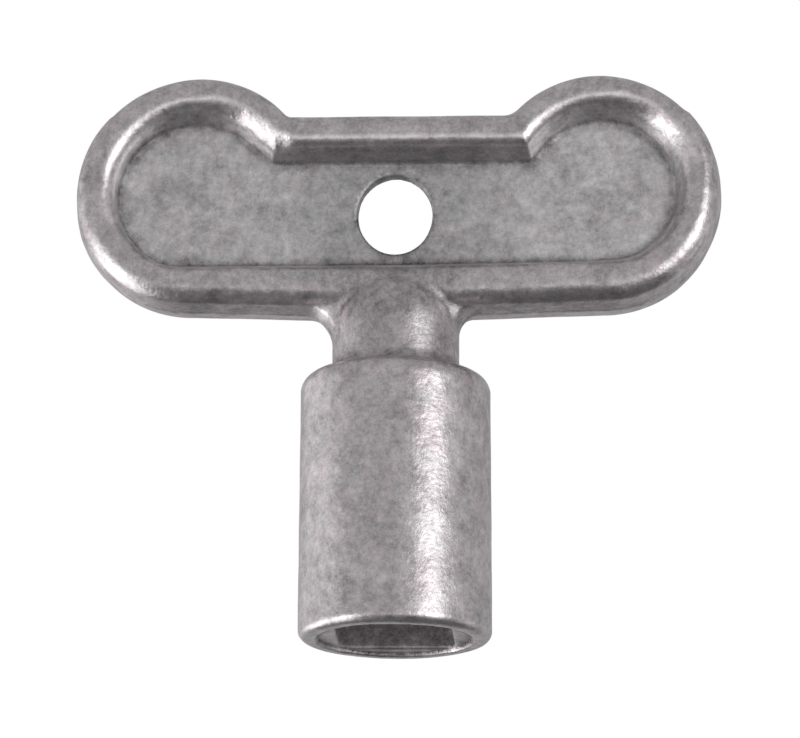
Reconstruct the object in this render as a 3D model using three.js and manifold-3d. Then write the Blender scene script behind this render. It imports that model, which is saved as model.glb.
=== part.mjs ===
// Radiator bleed key: one zinc die casting with a two-lobed handle and a square socket.
// Frame: millimetres, +Z up the socket axis, +X across the handle, +Y through its thickness,
// origin at the centre of the socket mouth.
import * as THREE from "three";
import { mergeVertices } from "three/addons/utils/BufferGeometryUtils.js";
import Module from "manifold-3d";

// Socket barrel
const MOUTH_RADIUS = 5.55; // outside radius at the mouth
const SHOULDER_RADIUS = 5.47; // casting draft makes the barrel slimmer at the top
const MOUTH_ROUNDING = 0.54;
const SHOULDER_ROUNDING = 0.95;
const SHOULDER_Z = 15.5;
const LIP_INNER_RADIUS = 4.45; // the shallow round recess inside the end ring
const LIP_RECESS_DEPTH = 0.25;
const SQUARE_HALF = 3.3; // 6.6 mm across flats takes a 1/4 in (6.35 mm) square spindle
const SQUARE_CORNER = 0.6;
const SQUARE_DEPTH = 12;

// Neck between barrel and handle
const NECK_RADIUS = 3.66;
const NECK_FILLET = 0.85;
const NECK_DOME_Z = 18.39; // centre of the hemispherical top of the neck

// Handle
const LOBE_Z = 26.5; // height of the lobe centres
const LOBE_X = 11.77;
const LOBE_RADIUS = 7.13;
const BAR_TOP = 4.77; // top edge of the bar above the lobe centres
const BOTTOM_FALL = 0.25; // the lower edge falls by this much from lobe to neck
const NOTCH_RADIUS_LEFT = 0.65;
const NOTCH_RADIUS_RIGHT = 1.3;
const HALF_THICKNESS = 2.45;
const EDGE_INSET = 1.2; // width of the rounded outer side of the rim
const RIM_INNER_INSET = 2.1; // outline to the inner corner of the rim crown
const WEB_INSET = 2.83; // outline to the foot of the sloped inner wall
const WEB_HALF_THICKNESS = 0.475;
const POCKET_NOTCH_RADIUS = 0.4;

// Hanging hole, slightly taller than wide, with rounded edges
const HOLE_Z = 25.28;
const HOLE_HALF_WIDTH = 2.18;
const HOLE_HALF_HEIGHT = 2.38;
const HOLE_ROUNDING = 0.3;

// Corner webs where the lower rim meets the sides of the neck
const WEB_LEFT = { reach: 5.1, drop: 17.1, halfThickness: 1.3 };
const WEB_RIGHT = { reach: 4.35, drop: 17.95, halfThickness: 1.3 };
const WEB_SHRINK = 0.35; // the corner webs thin towards each face by this much
const WEB_ROOT = 1.2; // how far the corner webs run into the rim and the neck

const ROUNDING_STEPS = 3;
const OVERCUT = 0.2; // how far a cutting solid stands past the surface it opens

const wasm = await Module();
wasm.setup();

function toManifold(geometry) {
  geometry.deleteAttribute("normal");
  geometry.deleteAttribute("uv");
  const merged = mergeVertices(geometry, 1e-5);
  const mesh = new wasm.Mesh({
    numProp: 3,
    vertProperties: new Float32Array(merged.attributes.position.array),
    triVerts: new Uint32Array(merged.index.array),
  });
  return new wasm.Manifold(mesh);
}

function toGeometry(solid) {
  const mesh = solid.getMesh();
  const geometry = new THREE.BufferGeometry();
  geometry.setAttribute("position", new THREE.BufferAttribute(new Float32Array(mesh.vertProperties), 3));
  geometry.setIndex(Array.from(mesh.triVerts));
  return geometry;
}

// Closed solid through same-length rings; place(u, v, level) turns a ring point into a Vector3.
function loft(rings, levels, place) {
  const count = rings[0].length;
  const positions = rings.flatMap((ring, k) => ring.map((p) => place(p.x, p.y, levels[k])));
  const index = [];
  for (let k = 0; k < rings.length - 1; k++) {
    for (let i = 0; i < count; i++) {
      const a = k * count + i;
      const b = k * count + ((i + 1) % count);
      index.push(a, b, b + count, a, b + count, a + count);
    }
  }
  const last = (rings.length - 1) * count;
  for (const [a, b, c] of THREE.ShapeUtils.triangulateShape(rings[0], [])) index.push(c, b, a);
  for (const [a, b, c] of THREE.ShapeUtils.triangulateShape(rings[rings.length - 1], [])) {
    index.push(last + a, last + b, last + c);
  }
  const geometry = new THREE.BufferGeometry().setFromPoints(positions);
  geometry.setIndex(index);
  return toManifold(geometry);
}

// Rings drawn in the X-Z plane and stacked through the thickness (Y runs against the ring order).
const throughThickness = (u, v, level) => new THREE.Vector3(u, -level, v);
const upTheAxis = (u, v, level) => new THREE.Vector3(u, v, level);

function arc(cx, cy, radius, from, to, steps) {
  const points = [];
  for (let i = 0; i <= steps; i++) {
    const angle = from + ((to - from) * i) / steps;
    points.push(new THREE.Vector2(cx + radius * Math.cos(angle), cy + radius * Math.sin(angle)));
  }
  return points;
}

// Right half of the handle outline, counter-clockwise from the middle of the lower edge.
function halfOutline(inset, notchRadius) {
  const radius = LOBE_RADIUS - inset;
  const top = BAR_TOP - inset;
  const notchX = LOBE_X - Math.sqrt((radius + notchRadius) ** 2 - (top + notchRadius) ** 2);
  const meet = Math.atan2(top + notchRadius, notchX - LOBE_X);
  return [
    new THREE.Vector2(NECK_RADIUS, LOBE_Z - radius - BOTTOM_FALL),
    ...arc(LOBE_X, LOBE_Z, radius, -Math.PI / 2, meet, 28),
    ...arc(notchX, LOBE_Z + top + notchRadius, notchRadius, meet - Math.PI, -Math.PI / 2, 5).slice(1),
  ];
}

function handleOutline(inset, notchLeft, notchRight) {
  const right = halfOutline(inset, notchRight);
  const left = halfOutline(inset, notchLeft).map((p) => new THREE.Vector2(-p.x, p.y));
  return [...right, ...left.reverse()];
}

// Rim blank: the outer side is rounded from one crown over the parting plane to the other.
function makeHandleBlank() {
  const rings = [];
  const levels = [];
  for (let degrees = -90; degrees <= 90; degrees += 15) {
    const angle = THREE.MathUtils.degToRad(degrees);
    const inset = EDGE_INSET * (1 - Math.cos(angle));
    rings.push(handleOutline(inset, NOTCH_RADIUS_LEFT, NOTCH_RADIUS_RIGHT));
    levels.push(HALF_THICKNESS * Math.sin(angle));
  }
  return loft(rings, levels, throughThickness);
}

// Void above the web on one face; side is +1 or -1 along the stacking direction.
function makePocket(side) {
  const slope = (WEB_INSET - RIM_INNER_INSET) / (HALF_THICKNESS - WEB_HALF_THICKNESS);
  const openInset = RIM_INNER_INSET - slope * OVERCUT;
  const open = handleOutline(openInset, POCKET_NOTCH_RADIUS, POCKET_NOTCH_RADIUS);
  const foot = handleOutline(WEB_INSET, POCKET_NOTCH_RADIUS, POCKET_NOTCH_RADIUS);
  const outer = side * (HALF_THICKNESS + OVERCUT);
  const inner = side * WEB_HALF_THICKNESS;
  if (side > 0) return loft([foot, open], [inner, outer], throughThickness);
  return loft([open, foot], [outer, inner], throughThickness);
}

// Straight oval wall with the edge rounded over onto each web face.
function makeHangingHole() {
  const half = [];
  for (let step = 0; step <= ROUNDING_STEPS; step++) {
    const angle = (step * Math.PI) / 2 / ROUNDING_STEPS;
    half.push({
      level: WEB_HALF_THICKNESS - HOLE_ROUNDING * (1 - Math.sin(angle)),
      growth: HOLE_ROUNDING * (1 - Math.cos(angle)),
    });
  }
  half.push({ level: WEB_HALF_THICKNESS + OVERCUT, growth: HOLE_ROUNDING });
  const back = half.map((step) => ({ level: -step.level, growth: step.growth })).reverse();
  const stack = [...back, ...half];
  const rings = stack.map((step) => holeRing(step.growth));
  return loft(rings, stack.map((step) => step.level), throughThickness);
}

function holeRing(growth) {
  const width = HOLE_HALF_WIDTH + growth;
  const height = HOLE_HALF_HEIGHT + growth;
  const circle = arc(0, 0, 1, 0, 2 * Math.PI, 48).slice(0, -1);
  return circle.map((p) => new THREE.Vector2(p.x * width, HOLE_Z + p.y * height));
}

function lathe(profile, segments) {
  const geometry = new THREE.LatheGeometry(profile, segments);
  geometry.rotateX(Math.PI / 2);
  return toManifold(geometry);
}

// Barrel, shoulder, filleted neck and domed neck top, turned about the socket axis.
function makeBarrelAndNeck() {
  const filletRadius = NECK_RADIUS + NECK_FILLET;
  const shoulderCentre = SHOULDER_RADIUS - SHOULDER_ROUNDING;
  const profile = [
    new THREE.Vector2(0, 0),
    ...arc(MOUTH_RADIUS - MOUTH_ROUNDING, MOUTH_ROUNDING, MOUTH_ROUNDING, -Math.PI / 2, 0, 6),
    ...arc(shoulderCentre, SHOULDER_Z - SHOULDER_ROUNDING, SHOULDER_ROUNDING, 0, Math.PI / 2, 8),
    ...arc(filletRadius, SHOULDER_Z + NECK_FILLET, NECK_FILLET, -Math.PI / 2, -Math.PI, 6),
    ...arc(0, NECK_DOME_Z, NECK_RADIUS, 0, Math.PI / 2, 14).slice(0, -1),
    new THREE.Vector2(0, NECK_DOME_Z + NECK_RADIUS),
  ];
  return lathe(profile, 96);
}

// Fillet web in the corner between the lower rim and one side of the neck.
function makeCornerWeb(web, side) {
  const ring = (shrink) => {
    const reach = web.reach - shrink;
    const drop = web.drop + shrink;
    const top = LOBE_Z - LOBE_RADIUS + WEB_ROOT;
    const bottom = LOBE_Z - LOBE_RADIUS - BOTTOM_FALL + shrink / 2;
    const points = [];
    for (let step = 0; step <= 8; step++) {
      const angle = (step * Math.PI) / 16;
      const x = reach - (reach - NECK_RADIUS) * Math.cos(angle);
      const z = drop + (bottom - drop) * Math.sin(angle);
      points.push(new THREE.Vector2(side * x, z));
    }
    points.push(new THREE.Vector2(side * reach, top));
    points.push(new THREE.Vector2(side * (NECK_RADIUS - WEB_ROOT), top));
    points.push(new THREE.Vector2(side * (NECK_RADIUS - WEB_ROOT), drop));
    return side > 0 ? points : points.reverse();
  };
  const levels = [-web.halfThickness, 0, web.halfThickness];
  return loft([ring(WEB_SHRINK), ring(0), ring(WEB_SHRINK)], levels, throughThickness);
}

// Shallow round recess in the end ring.
function makeMouthRecess() {
  const profile = [
    new THREE.Vector2(0, -OVERCUT),
    new THREE.Vector2(LIP_INNER_RADIUS, -OVERCUT),
    new THREE.Vector2(LIP_INNER_RADIUS, LIP_RECESS_DEPTH),
    new THREE.Vector2(0, LIP_RECESS_DEPTH),
  ];
  return lathe(profile, 96);
}

function makeSquareSocket() {
  const offset = SQUARE_HALF - SQUARE_CORNER;
  const ring = [0, 1, 2, 3].flatMap((quarter) => {
    const start = (quarter * Math.PI) / 2;
    const cx = offset * Math.SQRT2 * Math.cos(start + Math.PI / 4);
    const cy = offset * Math.SQRT2 * Math.sin(start + Math.PI / 4);
    return arc(cx, cy, SQUARE_CORNER, start, start + Math.PI / 2, 5);
  });
  return loft([ring, ring], [-OVERCUT, SQUARE_DEPTH], upTheAxis);
}

function makeKeyCasting() {
  const solid = [
    makeBarrelAndNeck(),
    makeCornerWeb(WEB_LEFT, -1),
    makeCornerWeb(WEB_RIGHT, 1),
  ].reduce((whole, piece) => whole.add(piece), makeHandleBlank());
  const voids = [makePocket(1), makePocket(-1), makeHangingHole(), makeMouthRecess(), makeSquareSocket()];
  return voids.reduce((whole, piece) => whole.subtract(piece), solid);
}

const casting = new THREE.Mesh(
  toGeometry(makeKeyCasting()),
  new THREE.MeshStandardMaterial({ color: 0x9b9896, roughness: 0.42, metalness: 0.9 }),
);
casting.name = "key_casting";

const key = new THREE.Group();
key.name = "radiator_bleed_key";
key.add(casting);

export default key;
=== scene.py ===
import math

import bpy
import numpy as np
from mathutils import Matrix, Vector


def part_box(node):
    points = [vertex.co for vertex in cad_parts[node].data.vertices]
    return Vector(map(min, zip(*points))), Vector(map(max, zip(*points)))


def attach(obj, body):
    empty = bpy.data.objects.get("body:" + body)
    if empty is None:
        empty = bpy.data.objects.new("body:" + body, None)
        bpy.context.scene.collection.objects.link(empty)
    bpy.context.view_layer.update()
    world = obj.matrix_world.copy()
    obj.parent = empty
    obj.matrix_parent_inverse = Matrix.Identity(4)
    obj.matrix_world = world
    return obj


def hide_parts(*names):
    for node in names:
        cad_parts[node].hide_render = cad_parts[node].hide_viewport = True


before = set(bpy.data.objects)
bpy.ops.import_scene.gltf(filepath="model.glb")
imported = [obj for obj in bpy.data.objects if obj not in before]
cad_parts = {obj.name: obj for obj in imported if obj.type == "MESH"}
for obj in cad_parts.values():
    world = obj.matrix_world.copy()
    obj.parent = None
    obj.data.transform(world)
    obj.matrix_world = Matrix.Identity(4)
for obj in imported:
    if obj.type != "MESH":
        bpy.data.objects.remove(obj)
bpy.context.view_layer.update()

# All lengths below are in millimetres, in the CAD frame: Z up the barrel, X along the handle, Y through it.
# A pair named ..._ZONE gives where a smooth change starts and where it is complete.
MM = 0.001
BOX_LOW, BOX_HIGH = [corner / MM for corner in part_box("key_casting")]

# Barrel
MOUTH_RADIUS = 5.52
MOUTH_Z = 0.03
SHOULDER_RADIUS = 5.45
BARREL_LEAN = 0.1
MOUTH_ROUNDING = 0.54
SHOULDER_ROUNDING = 0.95
SHOULDER_Z = 15.5
LIP_INNER_RADIUS = 4.45
LIP_RECESS_DEPTH = 0.25
LIP_ROUNDING = 0.18
SQUARE_HALF = 3.3
SQUARE_CORNER = 0.6
SQUARE_DEPTH = 12.0
SOCKET_FLOOR_ROUNDING = 0.4

# Neck, and its corner webs to the rim as (left, right)
NECK_RADIUS = 3.66
NECK_X = 0.0
NECK_FILLET = 0.85
NECK_DOME_Z = 18.39
NECK_BLEND = 0.35
CORNER_WEB = (1.9, 1.25)
CORNER_WEB_ZONE = (2.0, 1.4)

# Handle: outer outline, pairs are (left, right)
LOBE_RADIUS = 7.03
LOBE_X = (11.79, 11.95)
BOX_TOP_ABOVE_LOBES = 7.13
LOBE_Z = BOX_HIGH.z - BOX_TOP_ABOVE_LOBES
LOBE_SHEAR = (0.04, 0.02)
LOBE_STRETCH = (1.0, 1.016)
BAR_TOP = 4.64
BOTTOM_FALL = 0.25
NOTCH_BLEND = (0.2, 0.45)
NOTCH_BLEND_ZONE = (0, 3)
HALF_THICKNESS = 2.43
EDGE_DRAFT = 0.12
EDGE_ROUNDING = 1.0

# Handle: recess on each face, pairs are (left, right). Its outline lies near the rim's outer edge, and the
# insets are measured inwards from it.
POCKET_LOBE_X = (11.78, 11.9)
POCKET_LOBE_Z = (-0.15, 0.06)
POCKET_LOBE_RADIUS = (7.27, 7.13)
POCKET_TAPER_ANGLE = (50, 37)
POCKET_TOP = 4.71
POCKET_BOTTOM = -7.12
POCKET_BOTTOM_SLOPE = (0.0, 0.0135)
POCKET_CORNER_BLEND = 0.12
POCKET_BLEND_ZONE = (0, 2)
POCKET_BOTTOM_BLEND = 0.35
RIM_INNER_INSET = 2.13
LEFT_END_INSET = 0.45
LEFT_END_FOOT = 0.1
LEFT_END_ZONE = (LOBE_X[0] + 0.5, LOBE_X[0] + 4)
WEB_INSET = 2.83
WEB_HALF_THICKNESS = 0.475
CROWN_ROUNDING = 0.55
END_CROWN_ROUNDING = 0.9
END_ZONE = (12.5, 16)
WORN_CROWN_ROUNDING = 1.35
WORN_ACROSS_ZONES = ((0, 3), (-0.5, 4))
WORN_UP_ZONES = ((0, 2.5), (-1, 3))
WORN_NOTCH_ZONE = (5.8, 7.0)
POCKET_ROUNDING = 0.16

# Hanging hole
HOLE_X = -0.1
HOLE_Z = LOBE_Z - 1.23
HOLE_HALF_WIDTH = 2.18
HOLE_HALF_HEIGHT = 2.38
HOLE_ROUNDING = 0.2

# Skin: heights, and for each wave its turns along X, Y and Z in radians per millimetre and its phase
BROAD_WAVE = 0.010
BROAD_TURNS = ((1.1, 0, 0.7, 0.4), (0, -0.8, 0.9, 1.3))
NARROW_WAVE = 0.003
NARROW_TURNS = ((2.9, 2.1, -1.7, 0), (1.9, 0, 2.3, 0.6))
PARTING_WIDTH = 0.16
PARTING_HEIGHT = 0.012

# Zones of the skin that look different
CREASE_REACH = 0.45
CREASE_LEAN = math.radians(55)
CREASE_DIRECTIONS = 8
RUB_REACH = 0.35
# Painted shade: the colour is darkened at the hanging hole's edge and inside the socket, where shade falls
# in them.
HOLE_PAINTED_SHADE = 0.5
SOCKET_PAINTED_SHADE = 0.42
# Painted highlight: a lighter band along the crown's inner crest, where a lamp's reflection lies.
CREST_LEAN = 0.33
CREST_SPREAD = 0.13
CREST_Y_ZONE = (1.7, 2.0)
CREST_INSET_ZONE = (1.2, 1.6)
CREST_UP_ZONE = (0, 3)
RECESS_INSET_ZONE = (RIM_INNER_INSET, RIM_INNER_INSET + 0.3)
RECESS_Y_ZONE = (2.3, 1.8)
WEB_INSET_ZONE = (WEB_INSET - 0.3, WEB_INSET + 0.3)
WEB_Y_ZONE = (0.9, 0.6)
WEB_MIDDLE = -0.5
WEB_LOBES = 1.0
WEB_X_ZONE = (2, 9)
# Where the crown's worn inner edge is made smoother and its colour lightened as a painted highlight.
WORN_HIGHLIGHT_INSET_ZONE = (1.0, 1.8)
WORN_HIGHLIGHT_Y_ZONE = (0.6, 1.4)
SOCKET_ZONE = (0.1, 0.6)
SOCKET_REACH = LIP_INNER_RADIUS + 0.3
HOLE_PAINTED_SHADE_ZONE = (0.4, 0.05)
HOLE_RUB_ZONE = (0.2, 0.6)
NECK_FOOT_ZONE = (SHOULDER_Z, SHOULDER_Z + 0.5)
NECK_RADIAL_ZONE = (NECK_RADIUS + 0.8, NECK_RADIUS + 0.3)
NECK_TOP_ZONE = (LOBE_Z - 3, LOBE_Z - 5)

# Zinc. Each noise has its offset, cycles per millimetre, detail, roughness and height; the lights and darks
# are shares of the base colour, and several of them are painted shade or painted highlights, as noted
# below.
PINK_ZINC = (0.615, 0.56, 0.58, 1)
GREY_ZINC = (0.59, 0.578, 0.58, 1)
TINT = ((11, 3, 71), 0.7, 4, 0.7, 3.0)
TINT_MIDDLE = 0.3
RECESS_TINT = 0.6
GRAIN = ((0, 0, 0), 1.3, 5, 0.95, 2.2)
CLOUD = ((31, 7, 5), 0.45, 3, 0.7, 0.9)
WEB_CLOUD = ((3, 57, 15), 0.3, 4, 0.65, 0.9)
# Darkening in hollows, from how hollow the surface is round each vertex: partly dirt, partly painted shade;
# the hole and socket darkening, which is painted shade, is added to it.
CREASE_DIRT_AND_SHADE = 0.75
# Painted highlight along the crest.
CREST_PAINTED_HIGHLIGHT = 0.6
# Painted shade on the neck, under the handle.
NECK_PAINTED_SHADE = 0.18
# Painted highlight on the worn crown edges.
WORN_PAINTED_HIGHLIGHT = 0.12
RUB_LIGHT = 0.15
WEB_LIGHT = 0.1
ROUGHNESS = 0.36
ROUGHNESS_SPREAD = ((5, 13, 91), 0.9, 5, 0.75, 0.3)
WEB_ROUGHER = 0.1
CREASE_ROUGHER = 0.5
NECK_ROUGHER = 0.04
WORN_SMOOTHER = 0.04
RUB_SMOOTHER = 0.08
FINE_BUMP = ((41, 23, 9), 3.0, 3, 0.6, 0.022 * MM)
WAVE_BUMP = ((14, 2, 39), 0.8, 3, 0.6, 0.04 * MM)
DENTS_PER_MM = 1.5
DENT_LIMIT = 0.3
DENT_ZONE = (0.05, 0.4)
DENT_DEPTH = 0.004 * MM

# Mesh: grid step, then how its vertices are settled on the surface
STEP = 0.177
SETTLINGS = 3
NEWTON_STEPS = 2
RELAXATION = 0.5
LONGEST_MOVE = 0.5 * STEP
LEAST_STEEPNESS = 0.05
SLOPE_STEP = 0.02

# Floor
FLOOR_SIZE = 400
FLOOR_COLOUR = (0.86, 0.86, 0.86, 1)
FLOOR_GLOW = 0.4

# Light. Each softbox has azimuth, elevation, width and height in degrees, then its radiance.
LIGHT_DISTANCE = 600
LIGHT_CENTRE_Z = 0.6 * LOBE_Z
SOFTBOXES = (
    ("right_front", 47, -6, 34, 44, 2.7),
    ("right", 102, -20, 20, 30, 0.5),
    ("front_low", 0, -20, 44, 12, 0.35),
    ("left_mid", -56, -24, 26, 24, 2.0),
    ("left_low", -84, -28, 44, 34, 1.6),
    ("left_below", -95, -45, 44, 30, 1.2),
    ("left_back", -105, 5, 70, 44, 0.4),
    ("left_back_low", -123, -28, 28, 28, 1.8),
)
# Radiance of the dim room round the key, below, level and above, and where it changes with height
ROOM_BELOW = 0.11
ROOM_LEVEL = 0.46
ROOM_ABOVE = 0.46
ROOM_LOW_ZONE = (-0.75, -0.35)
ROOM_HIGH_ZONE = (0.2, 0.8)

# Camera: a long lens a little to the right of the key, looking up at it from below.
LENS = 180
SENSOR_WIDTH = 36
CAMERA_DISTANCE = 233.918
CAMERA_YAW, CAMERA_TILT, CAMERA_ROLL = [math.radians(angle) for angle in (-3.208, 15.745, 0.563)]
AIM_ASIDE, AIM_BELOW = -0.1465, -10.0495


# ---------------------------------------------------------------- distances

def round_union(a, b, radius):
    reach = np.hypot(np.maximum(radius - a, 0), np.maximum(radius - b, 0))
    return np.maximum(radius, np.minimum(a, b)) - reach


def round_cut(a, b, radius):
    """a with b taken away, the edge between them rounded."""
    reach = np.hypot(np.maximum(radius + a, 0), np.maximum(radius - b, 0))
    return np.minimum(-radius, np.maximum(a, -b)) + reach


def round_both(a, b, radius):
    return round_cut(a, -b, radius)


def blend_union(a, b, width):
    """Union with a soft seam that leaves both surfaces alone away from it."""
    near = np.maximum(width - np.abs(a - b), 0) / np.maximum(width, 1e-6)
    return np.minimum(a, b) - near * near * width / 4


def smooth_step(value, low, high):
    t = np.clip((value - low) / (high - low), 0, 1)
    return t * t * (3 - 2 * t)


def barrel_distance(radial, z):
    slope = (MOUTH_RADIUS - SHOULDER_RADIUS) / SHOULDER_Z
    side = radial - MOUTH_RADIUS + slope * z
    body = round_both(side, z - SHOULDER_Z, SHOULDER_ROUNDING)
    return round_both(body, MOUTH_Z - z, MOUTH_ROUNDING)


def neck_distance(x, y, z):
    """Round bar from inside the barrel up to its domed top."""
    above = np.maximum(z - NECK_DOME_Z, 0)
    return np.sqrt((x - NECK_X) ** 2 + y**2 + above**2) - NECK_RADIUS


def by_side(x, pair):
    return np.where(x < 0, pair[0], pair[1])


def outline_distance(x, z):
    """Distance in the X-Z plane to the handle's outline, negative inside."""
    up = z - LOBE_Z
    out = np.abs(x) - by_side(x, LOBE_X)
    sideways = (out + by_side(x, LOBE_SHEAR) * up) * by_side(x, LOBE_STRETCH)
    lobe = np.hypot(sideways, up) - LOBE_RADIUS
    fall = BOTTOM_FALL * np.clip(out / (NECK_RADIUS - by_side(x, LOBE_X)), 0, 1)
    bar = np.maximum(up - BAR_TOP, np.where(out < 0, -(up + LOBE_RADIUS + fall), lobe))
    return blend_union(lobe, bar, by_side(x, NOTCH_BLEND) * smooth_step(up, *NOTCH_BLEND_ZONE))


def pocket_outline(x, z):
    """Like outline_distance, for the recess: straight tangents lead to its upper corners."""
    up = z - LOBE_Z
    out = np.abs(x) - by_side(x, POCKET_LOBE_X)
    rise = up - by_side(x, POCKET_LOBE_Z)
    radius = by_side(x, POCKET_LOBE_RADIUS)
    lobe = np.hypot(out, rise) - radius
    angle = np.radians(by_side(x, POCKET_TAPER_ANGLE))
    tangent = rise * np.sin(angle) - out * np.cos(angle) - radius
    past = (out * np.sin(angle) + rise * np.cos(angle) < 0) & (rise > 0)
    bar = np.maximum(up - POCKET_TOP, out - WEB_INSET)
    lobe = np.where(past, tangent, lobe)
    upper = blend_union(lobe, bar, POCKET_CORNER_BLEND * smooth_step(up, *POCKET_BLEND_ZONE))
    bottom = POCKET_BOTTOM + by_side(x, POCKET_BOTTOM_SLOPE) * x - up
    return -blend_union(-upper, -bottom, POCKET_BOTTOM_BLEND)


def rim_distance(outline, y):
    """Plate as thick as the rim; its sides lean in from the parting plane and round over."""
    side = (outline + EDGE_DRAFT * np.abs(y)) / math.hypot(1, EDGE_DRAFT)
    return round_both(side, np.abs(y) - HALF_THICKNESS, EDGE_ROUNDING)


def pocket_distance(x, y, z):
    """The recess above the web, on both faces. Its wall is steepest at the left end."""
    left_end = smooth_step(-x, *LEFT_END_ZONE)
    foot = WEB_INSET - LEFT_END_FOOT * left_end
    depth = HALF_THICKNESS - WEB_HALF_THICKNESS
    run = foot - RIM_INNER_INSET - LEFT_END_INSET * left_end
    above = np.abs(y) - WEB_HALF_THICKNESS
    wall = pocket_outline(x, z) + foot - above * run / depth
    wall = wall * depth / np.hypot(depth, run)
    return round_both(wall, -above, POCKET_ROUNDING)


def wear_and_highlight_share(x, z):
    """1 where the inner edge of the crown is worn, on the upper right of each lobe, else 0. That edge is
    rounded more there, and its colour gets a painted highlight.
    """
    up = z - LOBE_Z
    across = x - np.where(x < 0, -LOBE_X[0], LOBE_X[1])
    left, right = [
        smooth_step(across, *WORN_ACROSS_ZONES[side]) * smooth_step(up, *WORN_UP_ZONES[side])
        for side in (0, 1)
    ]
    return np.where(x < 0, left * smooth_step(-x, *WORN_NOTCH_ZONE), right)


def crown_rounding(x, z):
    """Radius of the crown's inner edge, larger at both ends and where it is worn."""
    end = smooth_step(np.abs(x), *END_ZONE)
    rounding = CROWN_ROUNDING + (END_CROWN_ROUNDING - CROWN_ROUNDING) * end
    return rounding + (WORN_CROWN_ROUNDING - rounding) * wear_and_highlight_share(x, z)


def hole_distance(x, z):
    u = (x - HOLE_X) / HOLE_HALF_WIDTH
    v = (z - HOLE_Z) / HOLE_HALF_HEIGHT
    reach = np.hypot(u, v) + 1e-6
    gradient = np.hypot(u / HOLE_HALF_WIDTH, v / HOLE_HALF_HEIGHT) / reach
    return (reach - 1) / gradient


def square_distance(x, y, z):
    across = np.abs(x) - SQUARE_HALF + SQUARE_CORNER
    along = np.abs(y) - SQUARE_HALF + SQUARE_CORNER
    outside = np.hypot(np.maximum(across, 0), np.maximum(along, 0))
    wall = outside + np.minimum(np.maximum(across, along), 0) - SQUARE_CORNER
    return round_both(wall, z - SQUARE_DEPTH, SOCKET_FLOOR_ROUNDING)


def crossed_waves(x, y, z, turns):
    """Product of two plane waves, between -1 and 1."""
    first, second = [np.sin(a * x + b * y + c * z + phase) for a, b, c, phase in turns]
    return first * second


def unevenness(x, y, z):
    """Slight waves of the cast skin, and the witness line where the die halves met."""
    broad = crossed_waves(x, y, z, BROAD_TURNS)
    narrow = crossed_waves(x, y, z, NARROW_TURNS)
    line = np.exp(-(y / PARTING_WIDTH) ** 2)
    return BROAD_WAVE * broad + NARROW_WAVE * narrow - PARTING_HEIGHT * line


def key_distance(x, y, z):
    """Distance to the key's skin, negative inside the metal."""
    outline = outline_distance(x, z)
    lean = BARREL_LEAN * np.clip(1 - z / SHOULDER_Z, 0, None)
    radial = np.hypot(x - lean, y)
    stem = round_union(barrel_distance(radial, z), neck_distance(x, y, z), NECK_FILLET)
    near = smooth_step(np.abs(y), *CORNER_WEB_ZONE)
    blend = NECK_BLEND + (by_side(x, CORNER_WEB) - NECK_BLEND) * near
    solid = round_union(rim_distance(outline, y), stem, blend)
    solid = round_cut(solid, pocket_distance(x, y, z), crown_rounding(x, z))
    solid = round_cut(solid, hole_distance(x, z), HOLE_ROUNDING)
    solid = solid + unevenness(x, y, z)
    recess = np.maximum(radial - LIP_INNER_RADIUS, z - LIP_RECESS_DEPTH)
    solid = round_cut(solid, recess, LIP_ROUNDING)
    return round_cut(solid, square_distance(x - lean, y, z), LIP_ROUNDING)


# ---------------------------------------------------------------- surface

CORNERS = [(i, j, k) for i in (0, 1) for j in (0, 1) for k in (0, 1)]
CELL_EDGES = [
    (a, b) for a in range(8) for b in range(a + 1, 8)
    if sum(abs(p - q) for p, q in zip(CORNERS[a], CORNERS[b])) == 1
]


def surface_net(values, low, step):
    """Vertices and quads of the zero surface, one vertex in each cell it crosses."""
    inside = values < 0
    cells = tuple(n - 1 for n in values.shape)
    count = np.zeros(cells, np.int8)
    for i, j, k in CORNERS:
        count += inside[i:i + cells[0], j:j + cells[1], k:k + cells[2]]
    active = np.argwhere((count > 0) & (count < 8))
    corner = [values[tuple((active + offset).T)] for offset in CORNERS]
    total = np.zeros((len(active), 3))
    crossings = np.zeros(len(active))
    for a, b in CELL_EDGES:
        crossed = (corner[a] < 0) != (corner[b] < 0)
        share = corner[a] / np.where(crossed, corner[a] - corner[b], 1)
        start, end = np.array(CORNERS[a], float), np.array(CORNERS[b], float)
        total += (start + share[:, None] * (end - start)) * crossed[:, None]
        crossings += crossed
    points = low + step * (active + total / crossings[:, None])
    index = np.full(cells, -1, np.int32)
    index[tuple(active.T)] = np.arange(len(active))
    return points, net_quads(inside, index)


def net_quads(inside, index):
    """One quad round each grid edge whose ends lie on different sides."""
    quads = []
    for axis in range(3):
        one, two = (axis + 1) % 3, (axis + 2) % 3
        first = np.swapaxes(inside, 0, axis)[:-1]
        second = np.swapaxes(inside, 0, axis)[1:]
        edges = np.argwhere(first != second)
        edges[:, [0, axis]] = edges[:, [axis, 0]]
        ring = []
        for back_one, back_two in ((1, 1), (0, 1), (0, 0), (1, 0)):
            cell = edges.copy()
            cell[:, one] -= back_one
            cell[:, two] -= back_two
            ring.append(index[tuple(cell.T)])
        quad = np.stack(ring, 1)
        starts_inside = inside[tuple(edges.T)]
        quads.append(np.where(starts_inside[:, None], quad, quad[:, ::-1]))
    return np.concatenate(quads)


def gradient(distance, points):
    columns = []
    for axis in range(3):
        shift = np.zeros(3)
        shift[axis] = SLOPE_STEP
        ahead, behind = points + shift, points - shift
        columns.append((distance(*ahead.T) - distance(*behind.T)) / (2 * SLOPE_STEP))
    return np.stack(columns, 1)


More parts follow.
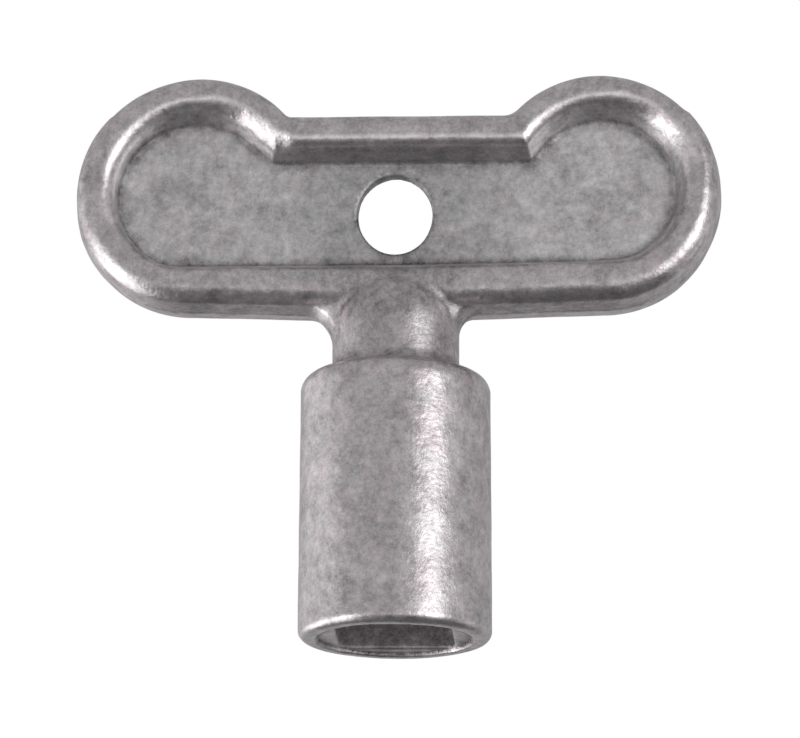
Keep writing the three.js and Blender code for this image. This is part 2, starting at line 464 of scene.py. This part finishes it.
def settle(distance, points, quads):
    """Moves the vertices onto the surface, spread evenly over it."""
    edges = np.concatenate([quads[:, [0, 1]], quads[:, [1, 2]], quads[:, [2, 3]], quads[:, [3, 0]]])
    valence = np.bincount(edges.ravel(), minlength=len(points))
    for _ in range(SETTLINGS):
        total = np.zeros_like(points)
        for axis in range(3):
            total[:, axis] += np.bincount(edges[:, 0], points[edges[:, 1], axis], len(points))
            total[:, axis] += np.bincount(edges[:, 1], points[edges[:, 0], axis], len(points))
        points = points + RELAXATION * (total / valence[:, None] - points)
        for _ in range(NEWTON_STEPS):
            slope = gradient(distance, points)
            steepness = np.maximum((slope**2).sum(1), LEAST_STEEPNESS)
            move = slope * (distance(*points.T) / steepness)[:, None]
            length = np.sqrt((move**2).sum(1))
            move *= np.minimum(1, LONGEST_MOVE / np.maximum(length, 1e-9))[:, None]
            points = points - move
    return points


def hollowness(points, normals):
    """Share of the directions round each normal that soon meet the surface again, from 0 to 1."""
    helper = np.where(np.abs(normals[:, [2]]) < 0.9, [[0, 0, 1]], [[1, 0, 0]])
    across = np.cross(normals, helper)
    across /= np.sqrt((across**2).sum(1))[:, None]
    along = np.cross(normals, across)
    blocked = 0
    for turn in np.arange(CREASE_DIRECTIONS) * 2 * math.pi / CREASE_DIRECTIONS:
        aim = math.cos(turn) * across + math.sin(turn) * along
        ray = math.cos(CREASE_LEAN) * normals + math.sin(CREASE_LEAN) * aim
        clear = key_distance(*(points + ray * CREASE_REACH).T) / (CREASE_REACH * math.cos(CREASE_LEAN))
        blocked = blocked + np.clip(1 - clear, 0, 1)
    return blocked / CREASE_DIRECTIONS


def skin_zones(points, normals):
    """How much each vertex belongs to each zone of the skin, mostly from 0 to 1."""
    x, y, z = points.T
    depth = np.abs(y)
    inset = -pocket_outline(x, z)
    radial = np.hypot(x, y)
    hole = hole_distance(x, z)

    recess = smooth_step(inset, *RECESS_INSET_ZONE) * smooth_step(depth, *RECESS_Y_ZONE)
    web = smooth_step(inset, *WEB_INSET_ZONE) * smooth_step(depth, *WEB_Y_ZONE)
    web = web * (WEB_MIDDLE + (WEB_LOBES - WEB_MIDDLE) * smooth_step(np.abs(x), *WEB_X_ZONE))
    in_socket = smooth_step(z, *SOCKET_ZONE) * (radial < SOCKET_REACH) * (z < SHOULDER_Z)
    # Painted shade round the hanging hole and inside the socket, added to the hollow darkening below.
    hole_and_socket_shade = HOLE_PAINTED_SHADE * smooth_step(hole, *HOLE_PAINTED_SHADE_ZONE) + SOCKET_PAINTED_SHADE * in_socket
    # Neck zone: its colour is darkened as painted shade under the handle, and it is made a little rougher.
    neck = smooth_step(z, *NECK_FOOT_ZONE) * smooth_step(radial, *NECK_RADIAL_ZONE)
    neck = neck * smooth_step(z, *NECK_TOP_ZONE)
    # Wear and painted highlight: the worn crown edge is made smoother and its colour is lightened as a
    # painted highlight.
    wear_and_painted_highlight = wear_and_highlight_share(x, z) * smooth_step(inset, *WORN_HIGHLIGHT_INSET_ZONE) * smooth_step(depth, *WORN_HIGHLIGHT_Y_ZONE)

    lean = np.hypot(normals[:, 0], normals[:, 2])
    # Painted highlight along the crown's inner crest, placed by how far the normal leans.
    crest_painted_highlight = np.exp(-((lean - CREST_LEAN) / CREST_SPREAD) ** 2) * smooth_step(depth, *CREST_Y_ZONE)
    crest_painted_highlight = crest_painted_highlight * smooth_step(inset, *CREST_INSET_ZONE) * smooth_step(z - LOBE_Z, *CREST_UP_ZONE)
    inner = -key_distance(*(points - normals * RUB_REACH).T) / RUB_REACH
    rub = np.clip(1 - inner, 0, 1) * smooth_step(hole, *HOLE_RUB_ZONE)
    # Darker in hollows: partly dirt, partly painted shade, plus the painted shade of the hole and socket.
    dirt_and_shade = hollowness(points, normals) + hole_and_socket_shade
    return dict(recess=recess, web=web, dirt_and_shade=dirt_and_shade, crest_painted_highlight=crest_painted_highlight, rub=rub, neck=neck, wear_and_painted_highlight=wear_and_painted_highlight)


def build_key():
    pad = 3 * STEP
    low = np.array(BOX_LOW) - pad
    size = np.array(BOX_HIGH) + pad - low
    axes = [low[a] + STEP * np.arange(int(size[a] / STEP) + 2) for a in range(3)]
    values = key_distance(*np.meshgrid(*axes, indexing="ij"))
    points, quads = surface_net(values, low, STEP)
    points = settle(key_distance, points, quads)
    normals = gradient(key_distance, points)
    normals /= np.sqrt((normals**2).sum(1))[:, None]
    mesh = bpy.data.meshes.new("zinc_key")
    mesh.from_pydata((points * MM).tolist(), [], quads.tolist())
    mesh.polygons.foreach_set("use_smooth", np.ones(len(quads), bool))
    mesh.validate()
    mesh.update()
    mesh.normals_split_custom_set_from_vertices(normals.tolist())
    for name, values in skin_zones(points, normals).items():
        mesh.attributes.new(name, "FLOAT", "POINT").data.foreach_set("value", values)
    return mesh


# ---------------------------------------------------------------- material

def add(tree, kind, settings=(), **inputs):
    """A new node with its settings and inputs given; returns its first output."""
    node = tree.nodes.new(kind)
    for name, value in dict(settings).items():
        setattr(node, name, value)
    for name, value in inputs.items():
        socket = node.inputs[int(name[1:])] if name[1:].isdigit() else node.inputs[name.replace("_", " ")]
        if isinstance(value, bpy.types.NodeSocket):
            tree.links.new(value, socket)
        else:
            socket.default_value = value
    return node.outputs[0]


def math_of(tree, operation, *values):
    inputs = {"i%d" % index: value for index, value in enumerate(values)}
    return add(tree, "ShaderNodeMath", {"operation": operation}, **inputs)


def total(tree, *values):
    result = values[0]
    for value in values[1:]:
        result = math_of(tree, "ADD", result, value)
    return result


def noise(tree, place, kind):
    """Fractal noise about zero, from its offset, scale, detail, roughness and height."""
    offset, scale, detail, roughness, height = kind
    place = add(tree, "ShaderNodeVectorMath", {"operation": "ADD"}, i0=place, i1=offset)
    settings = {"noise_dimensions": "3D"}
    value = add(
        tree, "ShaderNodeTexNoise", settings,
        Vector=place, Scale=scale, Detail=detail, Roughness=roughness,
    )
    return math_of(tree, "MULTIPLY_ADD", value, height, -0.5 * height)


def attribute(tree, name):
    node = tree.nodes.new("ShaderNodeAttribute")
    node.attribute_name = name
    return node.outputs["Fac"]


def dents(tree, place):
    """Small knocks from tumbling, in the cells whose random grey is below DENT_LIMIT."""
    settings = {"voronoi_dimensions": "3D"}
    cells = add(tree, "ShaderNodeTexVoronoi", settings, Vector=place, Scale=DENTS_PER_MM).node
    chosen = math_of(tree, "LESS_THAN", cells.outputs["Color"], DENT_LIMIT)
    settings = {"interpolation_type": "SMOOTHSTEP"}
    dent = add(
        tree, "ShaderNodeMapRange", settings,
        i0=cells.outputs["Distance"], i1=DENT_ZONE[0], i2=DENT_ZONE[1], i3=-DENT_DEPTH, i4=0.0,
    )
    return math_of(tree, "MULTIPLY", chosen, dent)


def zinc_colour(tree, place, zone):
    """Pink and grey metal in patches, darker in creases, partly dirt and partly painted shade, and lighter
    where it is rubbed; painted shade darkens the hanging hole, the socket and the neck, and painted
    highlights lighten the crown's crest and its worn edges.
    """
    shade = total(
        tree, 1.0, noise(tree, place, GRAIN), noise(tree, place, CLOUD),
        math_of(tree, "MULTIPLY", noise(tree, place, WEB_CLOUD), zone["web"]),
        # Hollows: partly dirt, partly painted shade.
        math_of(tree, "MULTIPLY", zone["dirt_and_shade"], -CREASE_DIRT_AND_SHADE),
        # Painted highlight along the crest.
        math_of(tree, "MULTIPLY", zone["crest_painted_highlight"], CREST_PAINTED_HIGHLIGHT),
        # Painted shade on the neck.
        math_of(tree, "MULTIPLY", zone["neck"], -NECK_PAINTED_SHADE),
        # Painted highlight on the worn crown edges.
        math_of(tree, "MULTIPLY", zone["wear_and_painted_highlight"], WORN_PAINTED_HIGHLIGHT),
        math_of(tree, "MULTIPLY", zone["rub"], RUB_LIGHT),
        math_of(tree, "MULTIPLY", zone["web"], WEB_LIGHT),
    )
    tint = total(tree, noise(tree, place, TINT), TINT_MIDDLE)
    tint = math_of(tree, "MULTIPLY_ADD", zone["recess"], RECESS_TINT, tint)
    mix = add(tree, "ShaderNodeMix", {"data_type": "RGBA"}, i0=tint, i6=PINK_ZINC, i7=GREY_ZINC)
    colour = [out for out in mix.node.outputs if out.type == "RGBA"][0]
    return add(tree, "ShaderNodeVectorMath", {"operation": "SCALE"}, i0=colour, i3=shade)


def zinc_roughness(tree, place, zone):
    return total(
        tree, ROUGHNESS, noise(tree, place, ROUGHNESS_SPREAD),
        math_of(tree, "MULTIPLY", zone["web"], WEB_ROUGHER),
        math_of(tree, "MULTIPLY", zone["rub"], -RUB_SMOOTHER),
        math_of(tree, "MULTIPLY", zone["dirt_and_shade"], CREASE_ROUGHER),
        math_of(tree, "MULTIPLY", zone["neck"], NECK_ROUGHER),
        math_of(tree, "MULTIPLY", zone["wear_and_painted_highlight"], -WORN_SMOOTHER),
    )


def zinc_material():
    material = bpy.data.materials.new("die_cast_zinc")
    material.use_nodes = True
    tree = material.node_tree
    shader = tree.nodes["Principled BSDF"]
    metres = tree.nodes.new("ShaderNodeTexCoord").outputs["Object"]
    place = add(tree, "ShaderNodeVectorMath", {"operation": "SCALE"}, i0=metres, i3=1 / MM)
    names = ("recess", "web", "dirt_and_shade", "crest_painted_highlight", "rub", "neck", "wear_and_painted_highlight")
    zone = {name: attribute(tree, name) for name in names}
    height = total(tree, noise(tree, place, FINE_BUMP), noise(tree, place, WAVE_BUMP), dents(tree, place))
    bump = add(tree, "ShaderNodeBump", Strength=1.0, Distance=1.0, Height=height)
    tree.links.new(zinc_colour(tree, place, zone), shader.inputs["Base Color"])
    tree.links.new(zinc_roughness(tree, place, zone), shader.inputs["Roughness"])
    tree.links.new(bump, shader.inputs["Normal"])
    shader.inputs["Metallic"].default_value = 1
    return material


# ---------------------------------------------------------------- scene

def add_key():
    key = bpy.data.objects.new("zinc_key", build_key())
    bpy.context.scene.collection.objects.link(key)
    key.data.materials.append(zinc_material())
    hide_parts("key_casting")
    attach(key, "root")


def add_floor():
    """Pale floor under the mouth, seen only from above so that it never hides the key from below."""
    half = FLOOR_SIZE / 2 * MM
    corners = [(-half, -half, 0), (half, -half, 0), (half, half, 0), (-half, half, 0)]
    mesh = bpy.data.meshes.new("floor")
    mesh.from_pydata(corners, [], [(0, 1, 2, 3)])
    material = bpy.data.materials.new("floor_paper")
    material.use_nodes = True
    tree = material.node_tree
    shader = tree.nodes["Principled BSDF"]
    shader.inputs["Base Color"].default_value = FLOOR_COLOUR
    shader.inputs["Roughness"].default_value = 0.9
    shader.inputs["Emission Color"].default_value = (1, 1, 1, 1)
    shader.inputs["Emission Strength"].default_value = FLOOR_GLOW
    clear = tree.nodes.new("ShaderNodeBsdfTransparent").outputs[0]
    mix = tree.nodes.new("ShaderNodeMixShader")
    tree.links.new(tree.nodes.new("ShaderNodeNewGeometry").outputs["Backfacing"], mix.inputs[0])
    tree.links.new(shader.outputs[0], mix.inputs[1])
    tree.links.new(clear, mix.inputs[2])
    tree.links.new(mix.outputs[0], tree.nodes["Material Output"].inputs["Surface"])
    mesh.materials.append(material)
    floor = bpy.data.objects.new("floor", mesh)
    floor.visible_shadow = floor.visible_diffuse = False
    floor.visible_glossy = floor.visible_transmission = False
    bpy.context.scene.collection.objects.link(floor)


def aim_camera():
    """Turns about Z, then X, then Y; the lobe centres' midpoint lies off the middle of the view."""
    turn_z = Matrix.Rotation(CAMERA_YAW, 3, "Z")
    turn_x = Matrix.Rotation(-CAMERA_TILT, 3, "X")
    turn_y = Matrix.Rotation(CAMERA_ROLL, 3, "Y")
    right, forward, up = turn_y @ turn_x @ turn_z
    centre = Vector((0, 0, LOBE_Z))
    place = centre - AIM_ASIDE * right - CAMERA_DISTANCE * forward + AIM_BELOW * up
    data = bpy.data.cameras.new("camera")
    data.sensor_width = SENSOR_WIDTH
    data.lens = LENS
    data.clip_start = 0.01
    data.clip_end = 10
    camera = bpy.data.objects.new("camera", data)
    basis = Matrix((right, up, -forward)).transposed().to_4x4()
    camera.matrix_world = Matrix.Translation(place * MM) @ basis
    bpy.context.scene.collection.objects.link(camera)
    bpy.context.scene.camera = camera


def light_from(azimuth, elevation):
    """Unit vector towards a light; azimuth 0 is in front (-Y) and 90 is the right (+X)."""
    turn, rise = math.radians(azimuth), math.radians(elevation)
    return Vector((math.sin(turn) * math.cos(rise), -math.cos(turn) * math.cos(rise), math.sin(rise)))


def add_softbox(name, azimuth, elevation, width, height, radiance):
    """Oval panel, its width and height given as angles seen from the key."""
    data = bpy.data.lights.new(name, "AREA")
    data.shape = "ELLIPSE"
    data.size = 2 * LIGHT_DISTANCE * MM * math.tan(math.radians(width / 2))
    data.size_y = 2 * LIGHT_DISTANCE * MM * math.tan(math.radians(height / 2))
    data.energy = radiance * math.pi * math.pi / 4 * data.size * data.size_y
    light = bpy.data.objects.new(name, data)
    towards = light_from(azimuth, elevation)
    light.location = (Vector((0, 0, LIGHT_CENTRE_Z)) + towards * LIGHT_DISTANCE) * MM
    light.rotation_mode = "QUATERNION"
    light.rotation_quaternion = towards.to_track_quat("Z", "Y")
    light.visible_camera = False
    bpy.context.scene.collection.objects.link(light)


def world_light():
    """White behind the key for the camera; for the key a dim room, given by elevation."""
    world = bpy.data.worlds.new("world")
    bpy.context.scene.world = world
    world.use_nodes = True
    tree = world.node_tree
    background = tree.nodes["Background"]
    direction = tree.nodes.new("ShaderNodeTexCoord").outputs["Generated"]
    height = tree.nodes.new("ShaderNodeSeparateXYZ")
    tree.links.new(direction, height.inputs[0])
    smooth = {"interpolation_type": "SMOOTHSTEP"}
    level = add(
        tree, "ShaderNodeMapRange", smooth, i0=height.outputs["Z"],
        i1=ROOM_LOW_ZONE[0], i2=ROOM_LOW_ZONE[1], i3=ROOM_BELOW, i4=ROOM_LEVEL,
    )
    upper = add(
        tree, "ShaderNodeMapRange", smooth, i0=height.outputs["Z"],
        i1=ROOM_HIGH_ZONE[0], i2=ROOM_HIGH_ZONE[1], i3=0.0, i4=ROOM_ABOVE - ROOM_LEVEL,
    )
    seen = tree.nodes.new("ShaderNodeLightPath").outputs["Is Camera Ray"]
    room = math_of(tree, "ADD", level, upper)
    strength = math_of(tree, "MAXIMUM", room, seen)
    tree.links.new(strength, background.inputs["Strength"])
    background.inputs["Color"].default_value = (1, 1, 1, 1)


add_key()
add_floor()
aim_camera()
for softbox in SOFTBOXES:
    add_softbox(*softbox)
world_light()
bpy.context.scene.view_settings.view_transform = "Standard"
